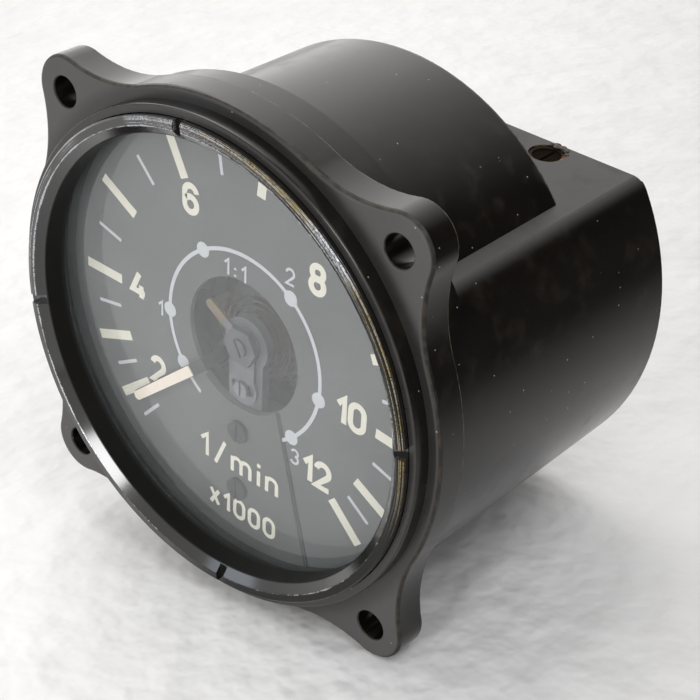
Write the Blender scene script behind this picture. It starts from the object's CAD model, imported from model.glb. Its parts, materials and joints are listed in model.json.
# %% [markdown]
# # A panel tachometer, dressed for its photograph
# The solids of the instrument come from the CAD frame: case, ring, glass, dial, pointer and the whole
# movement. This lesson gives them their finishes, adds the printed scale and the worn edges, and lights
# them on a pale table. Lengths are written in millimetres and turned into Blender's metres by one factor.

# %% Load the frame
import json
from math import asin, cos, degrees, hypot, pi, radians, sin, sqrt
from random import Random

import bmesh
import bpy
from mathutils import Matrix, Vector, kdtree


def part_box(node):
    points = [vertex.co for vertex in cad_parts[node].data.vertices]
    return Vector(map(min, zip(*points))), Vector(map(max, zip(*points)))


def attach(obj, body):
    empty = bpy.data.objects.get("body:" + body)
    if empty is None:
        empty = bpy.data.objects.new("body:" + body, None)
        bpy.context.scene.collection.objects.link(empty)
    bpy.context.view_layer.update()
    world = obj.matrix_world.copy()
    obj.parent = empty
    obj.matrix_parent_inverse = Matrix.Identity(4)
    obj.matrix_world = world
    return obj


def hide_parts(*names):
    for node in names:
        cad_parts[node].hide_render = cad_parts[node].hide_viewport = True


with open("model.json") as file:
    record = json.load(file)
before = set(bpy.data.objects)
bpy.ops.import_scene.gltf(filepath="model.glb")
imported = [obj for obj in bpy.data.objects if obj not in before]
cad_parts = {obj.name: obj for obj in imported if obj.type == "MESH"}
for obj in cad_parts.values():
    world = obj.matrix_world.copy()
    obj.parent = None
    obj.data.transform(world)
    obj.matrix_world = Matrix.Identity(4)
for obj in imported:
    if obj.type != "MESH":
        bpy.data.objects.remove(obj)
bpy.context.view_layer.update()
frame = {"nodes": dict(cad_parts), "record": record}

MM = 0.001

# %% [markdown]
# ## Camera
# The photograph was taken from above and to the right of the dial, quite close. A camera that stands
# nearly, but not exactly, there would shift every edge, so its place, its turn and its focal length were
# solved from the four ear holes and the circles of the ring. A free camera with the same lens is the
# simplest way to repeat it.

# %% Camera
IMAGE_SIDE_PX = 700
FOCAL_PX = 1681.5
SENSOR_MM = 36
CLIP_MM = 10
CAMERA_AT_MM = (149.18, -150.92, 143.81)
CAMERA_AZIMUTH = radians(39.27)
CAMERA_ELEVATION = radians(33.64)
CAMERA_ROLL = radians(-3.49)


def show(thing):
    """Puts an object into the scene."""
    bpy.context.scene.collection.objects.link(thing)
    return thing


def camera_axes(azimuth, elevation, roll):
    """Right, up and back directions of a camera that looks at the dial from the given side."""
    back = Vector((sin(azimuth) * cos(elevation), -cos(azimuth) * cos(elevation), sin(elevation)))
    right = Vector((0, 0, 1)).cross(back).normalized()
    up = back.cross(right)
    turn = Matrix.Rotation(-roll, 3, back)
    return turn @ right, turn @ up, back


camera_data = bpy.data.cameras.new("camera")
camera_data.sensor_width = SENSOR_MM
camera_data.lens = SENSOR_MM * FOCAL_PX / IMAGE_SIDE_PX
camera_data.clip_start = CLIP_MM * MM
camera = show(bpy.data.objects.new("camera", camera_data))
camera_turn = Matrix(camera_axes(CAMERA_AZIMUTH, CAMERA_ELEVATION, CAMERA_ROLL)).transposed()
camera.matrix_world = Matrix.Translation(Vector(CAMERA_AT_MM) * MM) @ camera_turn.to_4x4()
bpy.context.scene.camera = camera
bpy.context.scene.view_settings.view_transform = "Standard"
print("lens", round(camera_data.lens, 2), "mm")

# %% [markdown]
# ## Shader arithmetic
# A finish is a small formula: how worn, how dusty, how glossy a point is. It could be wired node after
# node, but then it is hard to read and to change. So one class wraps a socket and lets Python's own
# operators add the Math nodes: a sum of two masks is written as a sum.

# %% Socket arithmetic
class Flow:
    """An output socket of a node tree that can be used in a sum."""

    def __init__(self, nodes, socket):
        self.nodes = nodes
        self.socket = socket

    def math(self, operation, first, second=0.0):
        return self.nodes.add("ShaderNodeMath", {"operation": operation}, {0: first, 1: second})

    def __add__(self, other):
        return self.math("ADD", self, other)

    __radd__ = __add__

    def __sub__(self, other):
        return self.math("SUBTRACT", self, other)

    def __rsub__(self, other):
        return self.math("SUBTRACT", other, self)

    def __mul__(self, other):
        return self.math("MULTIPLY", self, other)

    __rmul__ = __mul__

    def __truediv__(self, other):
        return self.math("DIVIDE", self, other)

    def __rtruediv__(self, other):
        return self.math("DIVIDE", other, self)

    def __pow__(self, power):
        return self.math("POWER", self, power)

    def __rpow__(self, base):
        return self.math("POWER", base, self)

    def __abs__(self):
        return self.math("ABSOLUTE", self)

    def sine(self):
        return self.math("SINE", self)

    def most(self, other):
        return self.math("MAXIMUM", self, other)

    def ramp(self, low, high):
        """0 at low, 1 at high, with a straight rise between them."""
        return self.nodes.add("ShaderNodeMapRange", {}, {"Value": self, "From Min": low, "From Max": high})

    def step(self, low, high):
        """0 at low, 1 at high, with a smooth rise between them."""
        return self.nodes.add("ShaderNodeMapRange", {"interpolation_type": "SMOOTHSTEP"},
                              {"Value": self, "From Min": low, "From Max": high})


print("operators", [name for name in vars(Flow) if name.startswith("__") and name != "__init__"])

# %% [markdown]
# ## Node trees
# A tree of nodes belongs to a material or to the room around the object. One class owns the tree and has
# one method for every node: its type, then its settings, then the values or links of its sockets. Three
# short methods name the nodes that nearly every finish uses.

# %% Node trees
class Nodes:
    """A node tree and the one method that adds to it."""

    def __init__(self, tree):
        self.tree = tree
        tree.nodes.clear()

    def add(self, kind, settings=None, sockets=None, out=0):
        node = self.tree.nodes.new(kind)
        for name, value in (settings or {}).items():
            setattr(node, name, value)
        for key, value in (sockets or {}).items():
            if isinstance(value, Flow):
                self.tree.links.new(value.socket, node.inputs[key])
            else:
                node.inputs[key].default_value = value
        return Flow(self, node.outputs[out]) if node.outputs else node

    def mix(self, factor, first, second):
        """A colour between two colours."""
        return self.add("ShaderNodeMix", {"data_type": "RGBA"}, {0: factor, 6: first, 7: second}, out=2)

    def noise(self, place, scale, detail, roughness=0.55):
        return self.add("ShaderNodeTexNoise", {}, {"Vector": place, "Scale": scale, "Detail": detail,
                                                   "Roughness": roughness})

    def bump(self, height, depth_mm):
        return self.add("ShaderNodeBump", {}, {"Height": height, "Distance": depth_mm * MM, "Strength": 1.0})


print("methods", [name for name in vars(Nodes) if not name.startswith("__")])

# %% [markdown]
# ## Places on the object
# Wear, dust and tool marks follow the object: the distance from the dial's axis, the depth, the way a
# face looks. A painted picture could hold them, but every face would first have to be laid out flat. A
# finish here measures these places from the object's own coordinates, so a pattern's scale is simply its
# repeats per millimetre.

# %% Finish
class Finish(Nodes):
    """A material, with the places on a piece that its formulas use."""

    def __init__(self, name):
        self.material = bpy.data.materials.new(name)
        self.material.use_nodes = True
        super().__init__(self.material.node_tree)
        metres = self.add("ShaderNodeTexCoord", out="Object")
        self.place = self.add("ShaderNodeVectorMath", {"operation": "SCALE"}, {0: metres, "Scale": 1 / MM})
        self.x = self.axis("X")
        self.y = self.axis("Y")
        self.z = self.axis("Z")

    def axis(self, letter):
        return self.add("ShaderNodeSeparateXYZ", {}, {0: self.place}, out=letter)

    def radius(self):
        """Distance from the dial's axis in millimetres."""
        return (self.x * self.x + self.z * self.z) ** 0.5

    def facing(self, direction):
        """1 where a face looks along a direction, 0 where it lies square to it."""
        normal = self.add("ShaderNodeNewGeometry", out="Normal")
        return self.add("ShaderNodeVectorMath", {"operation": "DOT_PRODUCT"}, {0: normal, 1: direction},
                        out="Value")

    def shader(self, sockets):
        return self.add("ShaderNodeBsdfPrincipled", {}, sockets)

    def cover(self, shader):
        self.add("ShaderNodeOutputMaterial", {}, {"Surface": shader})
        print("finish", self.material.name, "nodes", len(self.tree.nodes))
        return self.material


print("places", [name for name in vars(Finish) if not name.startswith("__")])

# %% [markdown]
# ## Table
# The instrument lies on a white table and has rolled until one lower ear touches it. It could be turned
# on a level table, but the solids keep their frame, so the table is tilted instead. The roll follows from
# the flange and the ear, and the pitch from flange and block, on which the case rests.

# %% Table
FLANGE_R_MM = 43.1
FLANGE_REAR_MM = 5.7
EAR_R_MM = 5.8
EAR_AT_R_MM = 66 / sqrt(2)
BLOCK_R_MM = 42.3
BLOCK_REAR_MM = 57.0
TABLE_HALF_MM = 3000
TABLE_GAP_MM = 0.1

table_roll = radians(45) - asin(sqrt(1 - ((FLANGE_R_MM - EAR_R_MM) / EAR_AT_R_MM) ** 2))
table_pitch = (FLANGE_R_MM - BLOCK_R_MM) / (BLOCK_REAR_MM - FLANGE_REAR_MM)
table_up = Vector((-sin(table_roll), -table_pitch, cos(table_roll))).normalized()
table_at = Vector((0, FLANGE_REAR_MM, 0)) - table_up * (FLANGE_R_MM + TABLE_GAP_MM)
table_right = (Vector((1, 0, 0)) - table_up * table_up.x).normalized()
table_turn = Matrix((table_right, table_up.cross(table_right), table_up)).transposed()

half = TABLE_HALF_MM * MM
table_mesh = bpy.data.meshes.new("table")
table_corners = [(-half, -half, 0), (half, -half, 0), (half, half, 0), (-half, half, 0)]
table_mesh.from_pydata(table_corners, [], [(0, 1, 2, 3)])
table = show(bpy.data.objects.new("table", table_mesh))
table.matrix_world = Matrix.Translation(table_at * MM) @ table_turn.to_4x4()
print("table rolled", round(degrees(table_roll), 2), "degrees")

# %% [markdown]
# ## Table finish
# The table is a soft white sheet with low lumps. Away from the window, to the right, it turns greyer.
# Black plastic shows mostly what it mirrors, and there the sheet ends in a dim room: so for mirrored rays
# alone it fades to dark on the right. A real dark board would do the same, but it would also throw a
# shadow.

# %% Table finish
def rgb(red, green, blue):
    return (red, green, blue, 1.0)


def grey(value):
    return rgb(value, value, value)


AWAY_FROM_WINDOW = (0.86, 0.51)
GREYING_MM = (-60.0, 160.0)
SHEET_END_MM = (25.0, 200.0)
SHEET_TONES = (rgb(0.58, 0.572, 0.566), rgb(0.80, 0.792, 0.787))
DIM_ROOM = grey(0.02)
LUMP_DEPTH_MM = 1.2

tabletop = Finish("table_white")
ripple = tabletop.noise(tabletop.place, 0.06, 4.0)
dimple = tabletop.noise(tabletop.place, 0.16, 2.0, 0.4)
to_right = tabletop.x * AWAY_FROM_WINDOW[0] + tabletop.y * AWAY_FROM_WINDOW[1]
mirrored = tabletop.add("ShaderNodeLightPath", out="Is Glossy Ray")
tone = ripple * 0.6 + 0.34 - to_right.step(*GREYING_MM) * 0.65
sheet_end = to_right.step(*SHEET_END_MM) * mirrored
table_mesh.materials.append(tabletop.cover(tabletop.shader({
    "Base Color": tabletop.mix(sheet_end, tabletop.mix(tone, *SHEET_TONES), DIM_ROOM),
    "Roughness": 0.6,
    "Normal": tabletop.bump(ripple * 0.6 + dimple, LUMP_DEPTH_MM),
})))

# %% [markdown]
# ## Lamps
# Daylight does most of the work: a window stands behind the instrument on the left, makes the long
# highlight on the drum and throws the shadow to the right. Three weaker panels fill in: one in front, one
# overhead on the right, and a bluish one low at the front left. Area lamps give the soft edges that a
# point lamp can't.

# %% Lamps
# Name, place, aim, width and height in millimetres, then watts and colour
LAMPS = (
    ("window", (-420, 120, 640), (0, 20, 0), (620, 520), 2.2, (1.0, 0.985, 0.965)),
    ("front", (89, -532, 232), (0, 0, 0), (150, 150), 1.1, (1.0, 1.0, 1.0)),
    ("ceiling", (330, -60, 620), (60, 20, -40), (420, 420), 1.9, (0.93, 0.955, 1.0)),
    ("sky", (-417, -361, 195), (0, 0, 0), (160, 200), 0.22, (0.78, 0.89, 1.0)),
)

for name, at_mm, aim_mm, panel_mm, watts, colour in LAMPS:
    panel = bpy.data.lights.new(name, "AREA")
    panel.shape = "RECTANGLE"
    panel.size = panel_mm[0] * MM
    panel.size_y = panel_mm[1] * MM
    panel.energy = watts
    panel.color = colour
    lamp = show(bpy.data.objects.new(name, panel))
    lamp_turn = (Vector(aim_mm) - Vector(at_mm)).to_track_quat("-Z", "Y").to_matrix()
    lamp.matrix_world = Matrix.Translation(Vector(at_mm) * MM) @ lamp_turn.to_4x4()

# %% [markdown]
# ## Room
# Lamps alone would leave black plastic without anything to mirror, so the room around it shines too. A
# picture of a real room could do this, but a gradient is enough: bright behind on the left, dim behind on
# the right, even in front and weaker overhead. The camera itself sees a plain pale grey.

# %% Room
ROOM_WHITE = rgb(1.0, 0.99, 0.975)
FRONT_LIGHT = 0.9
OVERHEAD_LIGHT = 0.4
BACKDROP = grey(0.86)

world = bpy.data.worlds.new("room")
world.use_nodes = True
bpy.context.scene.world = world
room = Nodes(world.node_tree)
toward = room.add("ShaderNodeTexCoord", out="Generated")
side, depth, height = (room.add("ShaderNodeSeparateXYZ", {}, {0: toward}, out=letter) for letter in "XYZ")
front = depth.step(0.40, -0.10)
overhead = height.step(0.72, 0.92)
behind = side.ramp(0.44, -0.48) * 1.7 + 0.02
around = behind * (1 - front) + front * FRONT_LIGHT
bright = around * (1 - overhead) + overhead * OVERHEAD_LIGHT
room_light = room.add("ShaderNodeBackground", {}, {"Color": ROOM_WHITE, "Strength": bright})
seen_light = room.add("ShaderNodeBackground", {}, {"Color": BACKDROP, "Strength": 1.0})
seen = room.add("ShaderNodeLightPath", out="Is Camera Ray")
shown = room.add("ShaderNodeMixShader", {}, {0: seen, 1: room_light, 2: seen_light})
room.add("ShaderNodeOutputWorld", {}, {"Surface": shown})
print("room nodes", len(world.node_tree.nodes))

# %% [markdown]
# ## Moulded case
# The case is a black phenolic resin, pressed in a polished mould. It is never quite black: dust lies on
# faces that look forward, less of it beside the ring where a cloth has been, brown stains and flecks of
# lint are scattered over it, and the brown filler shows where rims have been rubbed. A flat colour would
# look like new plastic. So each of these is a mask, and the masks mix colour and roughness. The noise
# patterns are given by their repeats per millimetre.

# %% Moulded case finish
RESIN_BLACK = (rgb(0.0032, 0.0026, 0.0022), rgb(0.0072, 0.0054, 0.0042))
RESIN_STAIN = rgb(0.020, 0.0135, 0.0095)
RESIN_FILLER = rgb(0.13, 0.088, 0.048)
RESIN_DUST = rgb(0.090, 0.086, 0.085)
LINT = rgb(0.30, 0.28, 0.25)
# Depth, radius or height in millimetres from which and to which a mask rises
BEHIND_COLLAR_MM = (-0.4, -0.1)
REAR_RIM_MM = (4.2, 5.2)
SWEPT_R_MM = (44.8, 42.0)
FLAT_TOP_Z_MM = (27.0, 25.0)


def moulded_resin():
    finish = Finish("bakelite")
    cloud = finish.noise(finish.place, 0.10, 4.0)
    blotch = finish.noise(finish.place, 0.24, 6.0).step(0.50, 0.74)
    fleck = finish.noise(finish.place, 4.0, 2.0).step(0.70, 0.76) * cloud.step(0.45, 0.6)
    cells = finish.add("ShaderNodeTexVoronoi", {}, {"Vector": finish.place, "Scale": 0.38})
    lint = cells.step(0.060, 0.025)
    lean = finish.facing((0, -1, 0))
    rim = abs(lean).step(0.1, 0.3) * (0.97 - abs(lean)).step(0.0, 0.2) * finish.y.step(*BEHIND_COLLAR_MM)
    rear_rim = finish.y.step(*REAR_RIM_MM)
    rubbed = rim * finish.noise(finish.place, 0.8, 5.0).step(0.40, 0.62) * (0.2 + rear_rim * 0.8)
    swept = finish.radius().step(*SWEPT_R_MM)
    dusty = lean.step(0.8, 0.97) * (0.55 + cloud * 0.6) * (1 - swept * 0.65)
    flat_top = finish.facing((0, 0, 1)).step(0.95, 0.99) * finish.z.step(*FLAT_TOP_Z_MM)
    stained = finish.mix(blotch * 0.4, finish.mix(cloud, *RESIN_BLACK), RESIN_STAIN)
    worn = finish.mix(fleck * 0.3 + rubbed * 0.9, stained, RESIN_FILLER)
    dusted = finish.mix(dusty * 0.68, worn, RESIN_DUST)
    return finish.cover(finish.shader({
        "Base Color": finish.mix(lint, dusted, LINT),
        "Roughness": 0.15 + cloud * 0.10 + blotch * 0.08 + dusty * 0.28 + rim * 0.4 + flat_top * 0.25,
        "Normal": finish.bump(cloud, 0.02),
        "IOR": 1.48,
    }))


finishes = {"bakelite": moulded_resin()}

# %% [markdown]
# ## Lacquered ring
# The ring is turned brass, nickelled and then lacquered black. A spanner and many hands have worn it
# bright along its two front edges, most of all on the left. The edges are circles of known radius and
# depth, so the wear is measured from them directly instead of painted on. Where the lacquer is thin, at
# the upper right, fine lines left by the lathe shine through, silver at the brightest place and gold
# beside it.

# %% Ring finish
# Radius and depth of the ring's two front edges
RING_EDGES_MM = ((38.2, -3.9), (39.6, -3.85))
RING_FRONT_MM = -3.0
RING_FACE_R_MM = (38.0, 38.3)
RING_BORE_R_MM = (36.75, 36.95)
OUTER_HALF_R_MM = (38.5, 39.0)
# Directions to the right and up on the dial
HANDLED_SIDE = (-0.94, 0.34)
THIN_SIDE = (0.8, 0.6)
SHINING_SIDE = (0.63, 0.777)
LATHE_LINES_PER_MM = 8.0
RING_BLACK = (grey(0.003), rgb(0.007, 0.006, 0.005))
RING_NICKEL = rgb(0.50, 0.51, 0.53)
RING_BRASS = rgb(0.42, 0.33, 0.16)


def worn_lacquer():
    finish = Finish("ring_lacquer")
    radius = finish.radius()
    right = finish.x / radius
    up = finish.z / radius

    def to_side(direction):
        return right * direction[0] + up * direction[1]

    stretch = finish.noise(finish.place, 0.06, 2.0)
    patch = finish.noise(finish.place, 0.5, 4.0)
    grain = finish.noise(finish.place, 4.5, 3.0)
    on_front = (RING_FRONT_MM - finish.y).step(0.0, 0.4) * radius.step(*RING_FACE_R_MM)
    lacquered = radius.step(*RING_BORE_R_MM)
    handled = to_side(HANDLED_SIDE).ramp(0.0, 0.9)
    shining = to_side(SHINING_SIDE).step(0.982, 1.0)
    thin = stretch.step(0.44, 0.58).most(to_side(THIN_SIDE).step(0.3, 0.8))
    lathe = finish.add("ShaderNodeCombineXYZ", {}, {0: radius * LATHE_LINES_PER_MM,
                                                    1: finish.y * LATHE_LINES_PER_MM, 2: up * 1.6})
    lines = (finish.noise(lathe, 1.0, 2.0) + shining * 0.05).step(0.51, 0.60)
    wear = lines * thin * on_front * grain.step(0.30, 0.55) * up.step(-0.35, 0.25)
    uneven = (stretch - 0.5) * 0.5 + (patch - 0.5) * 0.35 + (grain - 0.5) * 0.55
    for edge_r, edge_y in RING_EDGES_MM:
        away = ((radius - edge_r) ** 2.0 + (finish.y - edge_y) ** 2.0) ** 0.5
        rub = 0.05 + handled * 0.09 - away + uneven
        wear = wear.most(rub.step(0.0, 0.12))
    outer_half = radius.step(*OUTER_HALF_R_MM)
    gold = right.step(-0.3, 0.4) * (1 - shining) * (outer_half * 0.6 + patch.step(0.42, 0.62) * 0.4)
    metal = finish.mix(gold, RING_NICKEL, RING_BRASS)
    return finish.cover(finish.shader({
        "Base Color": finish.mix(wear, finish.mix(patch, *RING_BLACK), metal),
        "Metallic": wear,
        "Roughness": 0.45 - lacquered * 0.3 + patch * 0.08 + wear * 0.12,
        "Coat Weight": lacquered * (1 - wear) * (1 - on_front * right.step(-0.2, 0.3) * 0.85),
        "Coat Roughness": 0.12,
        "Coat IOR": 1.58,
        "Normal": finish.bump(wear, -0.02),
        "IOR": 1.25,
    }))


finishes["ring_lacquer"] = worn_lacquer()

# %% [markdown]
# ## Glass
# The window glass mirrors the white table, which greys the whole dial, and it carries a film of dust and
# a few smears. Bending light through it would shift the dial from where it was measured, so the glass is
# a mix of a clear shader and a polished one. Both faces of the pane mirror, so its share starts higher
# than one face gives, and it rises at grazing angles.

# %% Glass finish
GLASS_DUST = rgb(0.76, 0.80, 0.81)
MIRROR_SHARE = 0.045
GRAZING_SHARE = 0.8


def dusty_glass():
    finish = Finish("clear_glass")
    facing = finish.add("ShaderNodeLayerWeight", {}, {"Blend": 0.5}, out="Facing")
    film = finish.noise(finish.place, 0.08, 5.0).step(0.25, 0.8)
    speck = finish.noise(finish.place, 2.4, 2.0).step(0.66, 0.74)
    gloss = finish.add("ShaderNodeBsdfGlossy", {}, {"Color": grey(1.0), "Roughness": 0.04})
    dust = finish.add("ShaderNodeBsdfDiffuse", {}, {"Color": GLASS_DUST})
    clear = finish.add("ShaderNodeBsdfTransparent", {}, {"Color": grey(1.0)})
    dusty = finish.add("ShaderNodeMixShader", {}, {0: 0.03 + film * 0.025 + speck * 0.008, 1: clear, 2: dust})
    share = MIRROR_SHARE + facing ** 5.0 * GRAZING_SHARE
    return finish.cover(finish.add("ShaderNodeMixShader", {}, {0: share, 1: dusty, 2: gloss}))


finishes["clear_glass"] = dusty_glass()

# %% [markdown]
# ## Paints
# The dial is sheet metal with a matte black paint that has faded to grey, and the pointer carries a
# brittle cream fill that once glowed. Rubber, oxide and cotton sleeves are as dull. One function serves
# them all: the tone and the sheen of a flat paint drift a little, which a single colour wouldn't show.

# %% Paints
def matte_paint(name, dark, light, roughness, scale=0.25, ior=1.45):
    """Flat paint whose tone and sheen drift a little."""
    finish = Finish(name)
    drift = finish.noise(finish.place, scale, 4.0)
    return finish.cover(finish.shader({
        "Base Color": finish.mix(drift, dark, light),
        "Roughness": roughness + drift * 0.12,
        "IOR": ior,
    }))


# Dark and light tone, roughness, repeats per millimetre, IOR
PAINTS = {
    "black_rubber": (grey(0.006), grey(0.012), 0.7, 1.5),
    "dial_black": (rgb(0.087, 0.095, 0.095), rgb(0.105, 0.114, 0.113), 0.65),
    "plate_black": (rgb(0.077, 0.082, 0.078), rgb(0.093, 0.098, 0.093), 0.6),
    "pointer_black": (grey(0.008), grey(0.016), 0.5),
    "lume": (rgb(0.80, 0.70, 0.58), rgb(0.90, 0.82, 0.72), 0.7, 0.8),
    "oxide_disc": (rgb(0.16, 0.05, 0.03), rgb(0.30, 0.11, 0.07), 0.5, 0.8),
    "wire_sleeve": (rgb(0.20, 0.035, 0.025), rgb(0.33, 0.07, 0.05), 0.7, 2.0),
    "sealed_screw": (rgb(0.004, 0.003, 0.002), rgb(0.012, 0.008, 0.005), 0.8, 0.9, 1.08),
}
finishes.update({name: matte_paint(name, *values) for name, values in PAINTS.items()})

# %% [markdown]
# ## Metals
# Nearly all metal pieces of the movement were turned, so they carry fine rings round the dial's axis. The
# rings could be cut into the mesh, but they are far thinner than a face, so a bump does it. Tarnish takes
# away some of the shine, and a dull skin on the hub's pieces lets them scatter light as paint does.

# %% Metals
def turned_metal(name, dark, light, roughness=0.3, ring_scale=14.0, bare=1.0):
    """Metal, bare or under a dull skin, with fine tool rings round the dial's axis and a little tarnish."""
    finish = Finish(name)
    tarnish = finish.noise(finish.place, 0.6, 4.0)
    rings = finish.noise(finish.radius(), ring_scale, 2.0)
    return finish.cover(finish.shader({
        "Base Color": finish.mix(tarnish, dark, light),
        "Metallic": bare - tarnish.step(0.62, 0.8) * 0.35 * bare,
        "Roughness": roughness + tarnish * 0.2,
        "Normal": finish.bump(rings, 0.004),
    }))


# Dark and light tone, roughness, rings per millimetre, share that is bare metal
METALS = {
    "brass": (rgb(0.42, 0.28, 0.10), rgb(0.72, 0.54, 0.25)),
    "spring_bronze": (rgb(0.08, 0.055, 0.03), rgb(0.16, 0.11, 0.06), 0.35),
    "steel": (rgb(0.32, 0.32, 0.33), rgb(0.58, 0.58, 0.59), 0.25),
    "dull_steel": (rgb(0.17, 0.18, 0.19), rgb(0.32, 0.33, 0.345)),
    "light_alloy": (rgb(0.10, 0.107, 0.114), rgb(0.19, 0.202, 0.21), 0.45, 9.0, 0.55),
    "dark_metal": (rgb(0.07, 0.075, 0.08), rgb(0.14, 0.15, 0.156), 0.4, 9.0, 0.5),
    "soft_iron": (rgb(0.10, 0.10, 0.11), rgb(0.24, 0.24, 0.26), 0.4),
    "magnet_alloy": (rgb(0.10, 0.10, 0.105), rgb(0.2, 0.2, 0.205), 0.45),
}
finishes.update({name: turned_metal(name, *values) for name, values in METALS.items()})

# %% [markdown]
# ## Windings and board
# The coil and the series resistor are wound with fine wire, and the terminals stand on a board pressed
# from sheets. Both are layers along the depth. A sine gives the even lay of the wire, and noise along one
# axis the uneven sheets. Single wires as meshes would cost many faces that nobody could see.

# %% Windings and board
def wound_wire(name, dark, light, pitch_mm):
    """Fine wire laid side by side along the depth."""
    finish = Finish(name)
    turns = (finish.y * (2 * pi / pitch_mm)).sine() * 0.5 + 0.5
    return finish.cover(finish.shader({
        "Base Color": finish.mix(turns, dark, light),
        "Roughness": 0.45 - turns * 0.1,
        "Normal": finish.bump(turns, 0.04),
    }))


def layered_board(name, dark, light):
    """Resin board with fine layers along the depth."""
    finish = Finish(name)
    layers = finish.noise(finish.y, 6.0, 2.0)
    cloud = finish.noise(finish.place, 0.5, 4.0)
    return finish.cover(finish.shader({
        "Base Color": finish.mix(layers * 0.5 + cloud * 0.5, dark, light),
        "Roughness": 0.42 + cloud * 0.12,
        "Normal": finish.bump(layers, 0.01),
    }))


# Dark and light tone, and the pitch of the wire in millimetres
WINDINGS = {
    "copper_wire": (rgb(0.20, 0.07, 0.025), rgb(0.55, 0.24, 0.10), 0.25),
    "resistance_wire": (rgb(0.04, 0.09, 0.035), rgb(0.13, 0.22, 0.11), 0.4),
}
finishes.update({name: wound_wire(name, *values) for name, values in WINDINGS.items()})
finishes["bound_board"] = layered_board("bound_board", rgb(0.10, 0.05, 0.022), rgb(0.22, 0.12, 0.06))

# %% [markdown]
# ## Sealing lacquer
# The screws of the rear cover lie in pits that were sealed with red lacquer. With age it has turned
# nearly black and shows its red brown only where it has broken, on the side away from the middle. The
# break is a mask on the distance from the middle, made ragged by a cloud.

# %% Sealing lacquer
LACQUER_OLD = (rgb(0.006, 0.004, 0.003), rgb(0.030, 0.016, 0.008))
LACQUER_BROKEN = rgb(0.22, 0.095, 0.028)
LACQUER_BREAK_X_MM = 21.2


def sealing_lacquer():
    finish = Finish("seal_red")
    cloud = finish.noise(finish.place, 0.9, 4.0)
    broken = (abs(finish.x) - LACQUER_BREAK_X_MM).step(0.0, 0.8) * cloud.step(0.36, 0.52)
    return finish.cover(finish.shader({
        "Base Color": finish.mix(broken, finish.mix(cloud, *LACQUER_OLD), LACQUER_BROKEN),
        "Roughness": 0.55 + cloud * 0.2,
        "IOR": 1.2,
    }))


finishes["seal_red"] = sealing_lacquer()

# %% [markdown]
# ## Zero lever
# A small lever in the dial's window holds the outer end of the hairspring. It is plated, but its spring
# arm has lost the plating and shows the brass. Two materials on one piece would need a cut between them,
# so one material changes its colour along the arm.

# %% Zero lever
LEVER_PLATED = (rgb(0.11, 0.118, 0.13), rgb(0.21, 0.222, 0.235))
LEVER_BRASS = (rgb(0.15, 0.115, 0.07), rgb(0.25, 0.195, 0.125))
LEVER_ARM_TOWARD = (-0.64, 0.77)
LEVER_ARM_FROM_MM = (4.0, 5.0)


def spring_lever():
    finish = Finish("lever_metal")
    tarnish = finish.noise(finish.place, 0.6, 4.0)
    arm = (finish.x * LEVER_ARM_TOWARD[0] + finish.z * LEVER_ARM_TOWARD[1]).step(*LEVER_ARM_FROM_MM)
    return finish.cover(finish.shader({
        "Base Color": finish.mix(arm, finish.mix(tarnish, *LEVER_PLATED), finish.mix(tarnish, *LEVER_BRASS)),
        "Metallic": 0.5,
        "Roughness": 0.45 + tarnish * 0.15,
    }))


finishes["lever_metal"] = spring_lever()

# %% [markdown]
# ## Dressing the solids
# Each solid's slot in the record names its finish. A few pieces look different from others of the same
# slot, such as the blackened nut and screw at the hub, so a short list of exceptions comes first.

# %% Dress the solids
OWN_FINISH = {
    "front_lock_nut": "dark_metal",
    "front_jewel_screw": "dark_metal",
    "balance_weight": "dark_metal",
    "front_collet": "dark_metal",
    "sector_plate_screws": "pointer_black",
    "spacer_ring": "pointer_black",
    "cover_screws": "sealed_screw",
    "zero_lever": "lever_metal",
    "zero_lever_screw": "dull_steel",
}

for row in frame["record"]["subparts"]:
    node = frame["nodes"][row["node"]]
    node.data.materials.clear()
    node.data.materials.append(finishes[OWN_FINISH.get(row["node"], row["material_slot"])])

# %% [markdown]
# ## Softened mould edges
# A moulded case has no sharp edges: the press leaves a small radius on every rim, and handling rounds it
# further. The solid keeps crisp edges because they are easier to measure. Here a copy of it gets its
# radii. A bevel modifier would round every edge alike, so each rim is picked by its place and rolled over
# with its own radius. First come the pickers, which look at an edge's radius and depth in millimetres.

# %% Rims of the case
COLLAR_R_MM = 41.1
COLLAR_FOOT_R_MM = 41.6
COLLAR_FRONT_MM = -2.6
DRUM_R_MM = 38.5
DRUM_REAR_MM = 41.9
BLOCK_TOP_MM = 23.4
BLOCK_END_MM = 58.1
BLOCK_RIM_FROM_R_MM = 40
FLANGE_RIM_FROM_R_MM = 42.5
HOLE_AT_MM = 33
HOLE_REACH_MM = 3
ON_FACE_MM = 0.05
ON_COLLAR_MM = 0.1
ON_DRUM_MM = 0.2


def ends(edge):
    """Radius and depth of an edge's two ends."""
    return [(hypot(v.co.x, v.co.z) / MM, v.co.y / MM) for v in edge.verts]


def at_depth(y, depth_mm, near_mm=ON_FACE_MM):
    return abs(y - depth_mm) < near_mm


def in_hole(edge):
    return all(hypot(abs(v.co.x) / MM - HOLE_AT_MM, abs(v.co.z) / MM - HOLE_AT_MM) < HOLE_REACH_MM
               for v in edge.verts)


def flange_rim(edge, depth_mm):
    on_rim = all(r > FLANGE_RIM_FROM_R_MM and at_depth(y, depth_mm) for r, y in ends(edge))
    return on_rim and not in_hole(edge)


def flange_front(edge):
    return flange_rim(edge, 0)


def flange_rear(edge):
    return flange_rim(edge, FLANGE_REAR_MM)


def collar_front(edge):
    return all(abs(r - COLLAR_R_MM) < ON_COLLAR_MM and at_depth(y, COLLAR_FRONT_MM, ON_COLLAR_MM)
               for r, y in ends(edge))


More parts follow.
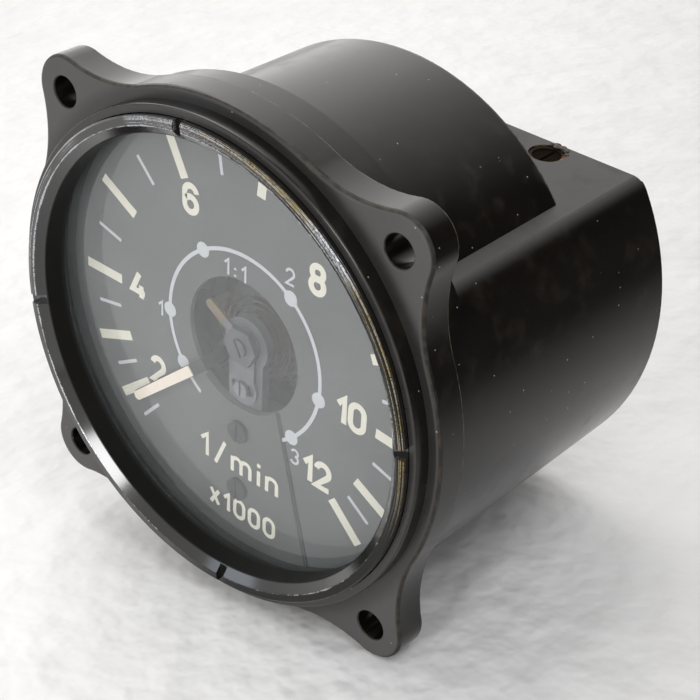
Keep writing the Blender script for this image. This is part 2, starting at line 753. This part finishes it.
def drum_rear(edge):
    return all(r > DRUM_R_MM - ON_DRUM_MM and at_depth(y, DRUM_REAR_MM) for r, y in ends(edge))


def block_rear(edge):
    at_end = all(at_depth(y, BLOCK_END_MM) for r, y in ends(edge))
    on_rim = all(r > BLOCK_RIM_FROM_R_MM for r, y in ends(edge))
    on_top = all(abs(v.co.z / MM - BLOCK_TOP_MM) < ON_FACE_MM for v in edge.verts)
    return at_end and (on_rim or on_top)


# Radius in millimetres and the rim that it rolls over
ROUNDS = ((0.7, flange_front), (0.45, flange_rear), (0.3, in_hole), (0.35, collar_front), (0.3, drum_rear),
          (0.3, block_rear))
print("rims", [picker.__name__ for _, picker in ROUNDS])

# %% [markdown]
# ## Clean reflections
# Glossy plastic shows every wrong normal as a stripe. Smooth shading alone guesses normals from the faces
# around a point, and long thin faces guess badly. So flat faces get their own normal, the round walls get
# the exact normal of their circle, and other faces keep the solid's. Only the new radii are left to
# smooth shading.

# %% Exact normals
ROUND_RADII_MM = (DRUM_R_MM, COLLAR_R_MM, BLOCK_R_MM, FLANGE_R_MM)
FLAT = 0.9999
ON_ROUND = 0.995
ALIKE = 0.97
NEIGHBOURS = 16
NO_NORMAL = Vector((0, 0, 0))


def exact_normal(place, face_normal, corners, tree):
    """Normal of a face at one of its corners, or none where smooth shading is to choose it."""
    if abs(face_normal.y) > FLAT:
        return face_normal.copy()
    outward = Vector((place.x, 0, place.z))
    on_round = any(abs(outward.length / MM - radius) < ON_FACE_MM for radius in ROUND_RADII_MM)
    if on_round and outward.normalized().dot(face_normal) > ON_ROUND:
        return outward.normalized()
    near = [corners[index].vector for _, index, _ in tree.find_n(place, NEIGHBOURS)]
    return next((normal.copy() for normal in near if normal.dot(face_normal) > ALIKE), NO_NORMAL)


def keep_normals(mesh, solid):
    """Gives a rounded mesh the exact normals of the solid that it was made from."""
    tree = kdtree.KDTree(len(solid.loops))
    for loop in solid.loops:
        tree.insert(solid.vertices[loop.vertex_index].co, loop.index)
    tree.balance()
    corners = solid.corner_normals
    normals = []
    for face in mesh.polygons:
        for index in face.loop_indices:
            place = mesh.vertices[mesh.loops[index].vertex_index].co
            normals.append(exact_normal(place, face.normal, corners, tree))
    mesh.normals_split_custom_set(normals)


print("round walls", ROUND_RADII_MM, "mm")

# %% [markdown]
# ## Rounded case
# Now the copy is made. Flat faces are joined first, so that a rim is one clean line of edges, and each
# line is then rolled over. The collar's draft angle, which the solid has for the mould, is taken out,
# because the photograph shows its side mirroring the flange.

# %% Rounded case
SAME_POINT_M = 1e-6
JOIN_ANGLE = radians(0.4)
RIM_ANGLE = radians(40)
SHARP_ANGLE = radians(32)
ROUND_SEGMENTS = 3
FOOT_DEPTH_MM = 0.02


def straighten_collar(work):
    """Brings the collar's foot in to the radius of its front edge."""
    for vert in work.verts:
        foot_r = hypot(vert.co.x, vert.co.z) / MM
        if abs(vert.co.y) < FOOT_DEPTH_MM * MM and abs(foot_r - COLLAR_FOOT_R_MM) < ON_COLLAR_MM:
            vert.co = vert.co * (COLLAR_R_MM / COLLAR_FOOT_R_MM)


def roll_over(work, radius_mm, chosen):
    """Rounds the sharp outer edges that a picker chooses."""
    sharp = [edge for edge in work.edges if len(edge.link_faces) == 2 and edge.is_convex
             and edge.calc_face_angle(0.0) > RIM_ANGLE and chosen(edge)]
    bmesh.ops.bevel(work, geom=sharp, offset=radius_mm * MM, segments=ROUND_SEGMENTS, profile=0.5,
                    affect="EDGES", clamp_overlap=False)
    print("rounded", chosen.__name__, "edges", len(sharp), "radius", radius_mm)


def rounded_copy(node, name, rounds):
    """A copy of a node's mesh whose sharp outer edges are rolled over, each set with its own radius."""
    mesh = frame["nodes"][node].data.copy()
    mesh.name = name
    work = bmesh.new()
    work.from_mesh(mesh)
    bmesh.ops.remove_doubles(work, verts=work.verts[:], dist=SAME_POINT_M)
    flat = [edge for edge in work.edges if all(abs(face.normal.y) > FLAT for face in edge.link_faces)]
    bmesh.ops.dissolve_limit(work, angle_limit=JOIN_ANGLE, edges=flat)
    straighten_collar(work)
    for radius_mm, chosen in rounds:
        roll_over(work, radius_mm, chosen)
    work.to_mesh(mesh)
    work.free()
    piece = show(bpy.data.objects.new(name, mesh))
    mesh.shade_smooth()
    mesh.set_sharp_from_angle(angle=SHARP_ANGLE)
    keep_normals(mesh, frame["nodes"][node].data)
    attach(piece, "root")
    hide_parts(node)
    return piece


rounded_case = rounded_copy("case", "rounded_case", ROUNDS)
print("rounded case faces", len(rounded_case.data.polygons))

# %% [markdown]
# ## Lacquer crumbs
# The lacquer over the cover's screws was poured in after assembly and has broken away since: a few crumbs
# stand on the rims of the pits. Modelled by hand they would all need their own mesh, so each is a small
# ball with dents. The dents come from a seeded draw, so that they are the same in every run.

# %% Lacquer crumbs
# Place to the right and in depth, and size
CRUMBS_MM = ((18.4, 57.3, 0.6), (19.3, 57.3, 0.8), (20.4, 57.2, 0.7), (21.3, 56.9, 0.6), (22.1, 55.8, 0.4),
             (-18.6, 57.3, 0.6), (-19.5, 57.2, 0.5))
CRUMB_FLATNESS = 0.55
CRUMB_DENTS = (0.6, 1.15)
DENT_SEED = 7


def crumb(x, y, size, dents):
    """One dented ball that stands on the block's flat top."""
    ball = bmesh.new()
    bmesh.ops.create_icosphere(ball, subdivisions=2, radius=size * MM)
    for vert in ball.verts:
        vert.co *= dents.uniform(*CRUMB_DENTS)
        vert.co.z *= CRUMB_FLATNESS
        vert.co += Vector((x, y, BLOCK_TOP_MM)) * MM
    mesh = bpy.data.meshes.new("lacquer_crumb")
    ball.to_mesh(mesh)
    ball.free()
    mesh.materials.append(crumb_finish)
    piece = show(bpy.data.objects.new("lacquer_crumb", mesh))
    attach(piece, "root")
    return piece


crumb_finish = matte_paint("lacquer_crumb", rgb(0.030, 0.026, 0.022), rgb(0.090, 0.075, 0.058), 0.6, 1.2)
dents = Random(DENT_SEED)
crumbs = [crumb(x, y, size, dents) for x, y, size in CRUMBS_MM]
print("crumbs", len(crumbs))

# %% [markdown]
# ## Strokes
# Every mark on the dial is a stroke of even width: ticks, the inner circle and the numerals. A font would
# bring curves of its own, so the numerals are drawn as centre lines, as a signwriter would, and one
# function gives a line its width. Points on the dial are given to the right and up, and angles as on a
# clock.

# %% Strokes
SHARPEST_MITRE = 0.5


def clock(angle, radius):
    """Point at a clock angle in degrees, clockwise from the top."""
    return Vector((radius * sin(radians(angle)), radius * cos(radians(angle))))


def arc(centre, radius, start, end, count=18):
    """Points on an arc, with angles in degrees anticlockwise from the right."""
    angles = [radians(start + (end - start) * i / count) for i in range(count + 1)]
    return [Vector((centre[0] + radius * cos(a), centre[1] + radius * sin(a))) for a in angles]


def stroke_sides(points, width, closed):
    """Left and right edge points of a line of even width, with mitred bends."""
    points = [Vector(point) for point in points]
    count = len(points)
    left, right = [], []
    for i, point in enumerate(points):
        before = points[i - 1] if closed or i > 0 else None
        after = points[(i + 1) % count] if closed or i < count - 1 else None
        into = (point - before).normalized() if before is not None else (after - point).normalized()
        onward = (after - point).normalized() if after is not None else into
        along = (into + onward).normalized()
        across = Vector((-along.y, along.x))
        reach = width / 2 / max(SHARPEST_MITRE, along.dot(into))
        left.append(point + across * reach)
        right.append(point - across * reach)
    return left, right


print("twelve o'clock at 10 mm", tuple(round(value, 3) for value in clock(0, 10)))

# %% [markdown]
# ## Printed sheets
# Screen print is a thin layer that stands on the paint. A texture could show it, but thin solids stay
# sharp at any distance and go along with the mesh. All strokes of one colour on one face become one
# piece, and each stroke has a slightly different height, so that two that cross don't flicker.

# %% Printed sheets
PRINT_T_MM = 0.03
STROKE_STEP_MM = 0.001
STROKE_HEIGHTS = 7
DIAL_FACE_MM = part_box("dial")[0].y / MM
PLATE_FACE_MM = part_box("sector_plate")[0].y / MM


def fix_normals(mesh):
    """Turns every face of a closed mesh outwards."""
    work = bmesh.new()
    work.from_mesh(mesh)
    bmesh.ops.recalc_face_normals(work, faces=work.faces[:])
    work.to_mesh(mesh)
    work.free()


class PrintedSheet:
    """Collects strokes into one thin mesh that stands on a flat face of the dial."""

    def __init__(self, name, face_mm):
        self.name = name
        self.face_mm = face_mm
        self.verts = []
        self.faces = []
        self.strokes = 0

    def prism(self, rings, closed):
        """A closed solid from pairs of left and right points."""
        first = len(self.verts)
        front = self.face_mm - PRINT_T_MM - STROKE_STEP_MM * (self.strokes % STROKE_HEIGHTS)
        self.strokes += 1
        for left, right in rings:
            for x, z in (left, right):
                self.verts.append((x * MM, front * MM, z * MM))
            for x, z in (right, left):
                self.verts.append((x * MM, self.face_mm * MM, z * MM))
        count = len(rings)
        for i in range(count if closed else count - 1):
            a = first + 4 * i
            b = first + 4 * ((i + 1) % count)
            for side in range(4):
                other = (side + 1) % 4
                self.faces.append((a + side, b + side, b + other, a + other))
        if not closed:
            last = first + 4 * (count - 1)
            self.faces.append((first, first + 1, first + 2, first + 3))
            self.faces.append((last + 3, last + 2, last + 1, last))

    def stroke(self, points, width, closed=False):
        left, right = stroke_sides(points, width, closed)
        self.prism(list(zip(left, right)), closed)

    def dot(self, centre, radius, count=20):
        """A round spot, as a ladder of chords."""
        chords = []
        for i in range(1, count):
            angle = pi * i / count
            half_w = radius * sin(angle)
            z = centre[1] - radius * cos(angle)
            chords.append((Vector((centre[0] - half_w, z)), Vector((centre[0] + half_w, z))))
        self.prism(chords, False)

    def piece(self, finish, slot):
        mesh = bpy.data.meshes.new(self.name)
        mesh.from_pydata(self.verts, [], self.faces)
        mesh.validate()
        mesh.materials.append(finish)
        piece = show(bpy.data.objects.new(self.name, mesh))
        fix_normals(mesh)
        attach(piece, "root")
        print("printed", self.name, "strokes", self.strokes, "faces", len(self.faces))
        return piece


print("faces at depth", round(DIAL_FACE_MM, 2), "and", round(PLATE_FACE_MM, 2), "mm")

# %% [markdown]
# ## Numerals
# The numerals are the plain upright kind used on instrument panels: round bowls, straight stems, one even
# stroke. Each is a short list of lines and arcs in a box one unit high, so one table serves every size.

# %% Numeral shapes
BOWL = 0.29


def line(*points):
    """An open line through the given points."""
    return list(points), False


def ring(points):
    """A closed line."""
    return points, True


def arch(x, centre_y, radius):
    """The shoulder and right leg of a small n, from its stem."""
    bend = arc((x + radius, centre_y), radius, 165, 0)
    return [Vector((x, 0.40))] + bend + [Vector((x + 2 * radius, 0.0))], False


def loop(centre_y, radius):
    """A full circle over the middle of a numeral."""
    return ring(arc((BOWL, centre_y), radius, 0, 360, 28)[:-1])


TOP_BOWL = (BOWL, 1 - BOWL)
FOOT_BOWL = (BOWL, BOWL)
# Width of each glyph and its lines
GLYPHS = {
    "0": (0.58, [ring(arc(TOP_BOWL, BOWL, 0, 180) + arc(FOOT_BOWL, BOWL, 180, 360))]),
    "1": (0.32, [line((0.0, 0.72), (0.28, 1.0), (0.28, 0.0))]),
    "2": (0.58, [line(*arc(TOP_BOWL, BOWL, 172, -38), (0.0, 0.0), (0.6, 0.0))]),
    "3": (0.56, [line(*arc((0.27, 0.745), 0.255, 160, -80)), line(*arc((0.27, 0.28), 0.28, 82, -160))]),
    "4": (0.62, [line((0.36, 1.0), (0.0, 0.24), (0.64, 0.24)), line((0.46, 0.52), (0.46, 0.0))]),
    "6": (0.58, [line(*arc(TOP_BOWL, BOWL, 12, 180), *arc(FOOT_BOWL, BOWL, 180, 500, 28))]),
    "8": (0.58, [loop(0.755, 0.245), loop(0.27, 0.275)]),
    "/": (0.45, [line((0.0, -0.08), (0.45, 1.08))]),
    ":": (0.05, [line((0.02, 0.08), (0.02, 0.2)), line((0.02, 0.52), (0.02, 0.64))]),
    "m": (0.86, [line((0.0, 0.0), (0.0, 0.68)), arch(0.0, 0.46, 0.21), arch(0.42, 0.46, 0.21)]),
    "i": (0.04, [line((0.02, 0.0), (0.02, 0.68)), line((0.02, 0.86), (0.02, 1.02))]),
    "n": (0.48, [line((0.0, 0.0), (0.0, 0.68)), arch(0.0, 0.45, 0.23)]),
    "x": (0.5, [line((0.0, 0.0), (0.5, 0.85)), line((0.0, 0.85), (0.5, 0.0))]),
}


def write(sheet, words, centre, height, stroke, spacing=0.24, widen=1.0):
    """Draws a row of glyphs round a centre point."""
    scale = height - stroke
    widths = [GLYPHS[letter][0] * scale * widen for letter in words]
    total = sum(widths) + spacing * scale * (len(words) - 1)
    x = centre[0] - total / 2
    foot = centre[1] - scale / 2
    for letter, width in zip(words, widths):
        for points, closed in GLYPHS[letter][1]:
            placed = [Vector((x + p[0] * scale * widen, foot + p[1] * scale)) for p in points]
            sheet.stroke(placed, stroke, closed)
        x += width + spacing * scale


print("glyphs", "".join(GLYPHS))

# %% [markdown]
# ## Outer scale
# The scale is not even: the low speeds are close together and the middle is spread. No formula gives it,
# because such a scale was drawn to fit its movement, so the angles below are the ones read from the dial,
# for thousands of turns per minute. Whole values carry a wide cream mark, the even ones a numeral too,
# and halves a fine white mark.

# %% Outer scale
SCALE_ANGLES = {
    1.5: 222.5, 2: 231.0, 2.5: 239.3, 3: 248.4, 3.5: 259.4, 4: 270.1, 4.5: 285.0, 5: 299.4, 5.5: 316.5,
    6: 332.5, 6.5: 350.3, 7: 6.6, 7.5: 22.5, 8: 38.6, 8.5: 53.8, 9: 69.0, 9.5: 82.4, 10: 95.0, 10.5: 106.5,
    11: 118.6, 11.5: 126.3, 12: 134.5,
}
MAJOR_R_MM = (27.3, 35.5)
SHORT_MARK_R_MM = {8: 28.7}
MAJOR_W_MM = 1.7
MINOR_R_MM = (28.2, 33.4)
MINOR_W_MM = 0.6
NUMERALS = {"2": (-19.0, -13.8), "4": (-23.4, 0.65), "6": (-11.35, 21.2), "8": (14.6, 18.3),
            "10": (22.3, -1.7), "12": (16.2, -15.9)}
NUMERAL_H_MM = 5.5
NUMERAL_STROKE_MM = 1.05

cream = matte_paint("print_cream", rgb(0.74, 0.72, 0.60), rgb(0.82, 0.80, 0.69), 0.6, 0.5)
white = matte_paint("print_white", rgb(0.50, 0.53, 0.56), rgb(0.60, 0.63, 0.66), 0.6, 0.5)
cream_print = PrintedSheet("dial_print_cream", DIAL_FACE_MM)
white_print = PrintedSheet("dial_print_white", DIAL_FACE_MM)
for value, angle in SCALE_ANGLES.items():
    if value == int(value):
        start = SHORT_MARK_R_MM.get(value, MAJOR_R_MM[0])
        cream_print.stroke([clock(angle, start), clock(angle, MAJOR_R_MM[1])], MAJOR_W_MM)
    else:
        white_print.stroke([clock(angle, r) for r in MINOR_R_MM], MINOR_W_MM)
for words, centre in NUMERALS.items():
    write(cream_print, words, centre, NUMERAL_H_MM, NUMERAL_STROKE_MM)
print("marks", len(SCALE_ANGLES), "numerals", len(NUMERALS))

# %% [markdown]
# ## Inner scale
# A second scale runs round the window for another shaft, at a quarter of the outer one: a fine white
# circle with spots for its values. It could be a ring with a gap, but a stroke along the arc uses what is
# there already.

# %% Inner scale
INNER_R_MM = 16.05
INNER_W_MM = 0.65
INNER_ARC = (211.9, 507.2)
INNER_STEPS = 120
INNER_DOTS = (234.6, 267.9, 327.2, 36.6, 98.1, 138.0)
INNER_DOT_R_MM = 1.3
INNER_NUMERALS = {"1": (-18.2, -1.3), "2": (9.3, 16.5), "3": (11.6, -15.2)}
INNER_NUMERAL_H_MM = 3.0
INNER_STROKE_MM = 0.42
RATIO_AT_MM = (-1.8, 12.8)
RATIO_H_MM = 3.1
RATIO_SPACING = 0.48

inner_sweep = INNER_ARC[1] - INNER_ARC[0]
inner_angles = [INNER_ARC[0] + inner_sweep * i / INNER_STEPS for i in range(INNER_STEPS + 1)]
white_print.stroke([clock(angle, INNER_R_MM) for angle in inner_angles], INNER_W_MM)
for angle in INNER_DOTS:
    white_print.dot(clock(angle, INNER_R_MM), INNER_DOT_R_MM)
for words, centre in INNER_NUMERALS.items():
    write(white_print, words, centre, INNER_NUMERAL_H_MM, INNER_STROKE_MM)
write(white_print, "1:1", RATIO_AT_MM, RATIO_H_MM, INNER_STROKE_MM, RATIO_SPACING)
cream_print.piece(cream, "dial_black")
white_print.piece(white, "dial_black")

# %% [markdown]
# ## Unit on the plate
# A small sector plate, held by two screws, covers the foot of the movement's bridge. It carries the unit,
# turns per minute, and the factor for the numerals, in the same print as the dial.

# %% Plate print
# Words, centre, height, spacing and widening
PLATE_LINES = (("1/min", (0.0, -22.6), 5.0, 0.40, 1.1), ("x1000", (0.9, -32.0), 4.1, 0.38, 1.05))
PLATE_STROKE_MM = 0.72

plate_print = PrintedSheet("plate_print_cream", PLATE_FACE_MM)
for words, centre, height_mm, spacing, widen in PLATE_LINES:
    write(plate_print, words, centre, height_mm, PLATE_STROKE_MM, spacing, widen)
plate_print.piece(cream, "plate_black")

# %% [markdown]
# ## Plate edge
# The dial's paint ends in a dark line along the plate's right edge, where dust has gathered in the step.
# A darker band in the paint's formula could show it, but one more stroke, in black, is simpler.

# %% Plate edge line
PLATE_EDGE_MM = ((7.95, -8.8), (16.3, -39.0))
PLATE_EDGE_W_MM = 0.45

edge_line = PrintedSheet("plate_edge_line", DIAL_FACE_MM)
edge_line.stroke(PLATE_EDGE_MM, PLATE_EDGE_W_MM)
edge_line.piece(finishes["pointer_black"], "dial_black")

# %% [markdown]
# ## Boxes and finish
# The dressed part must stay the size of the solids, so both boxes are written down for comparison.
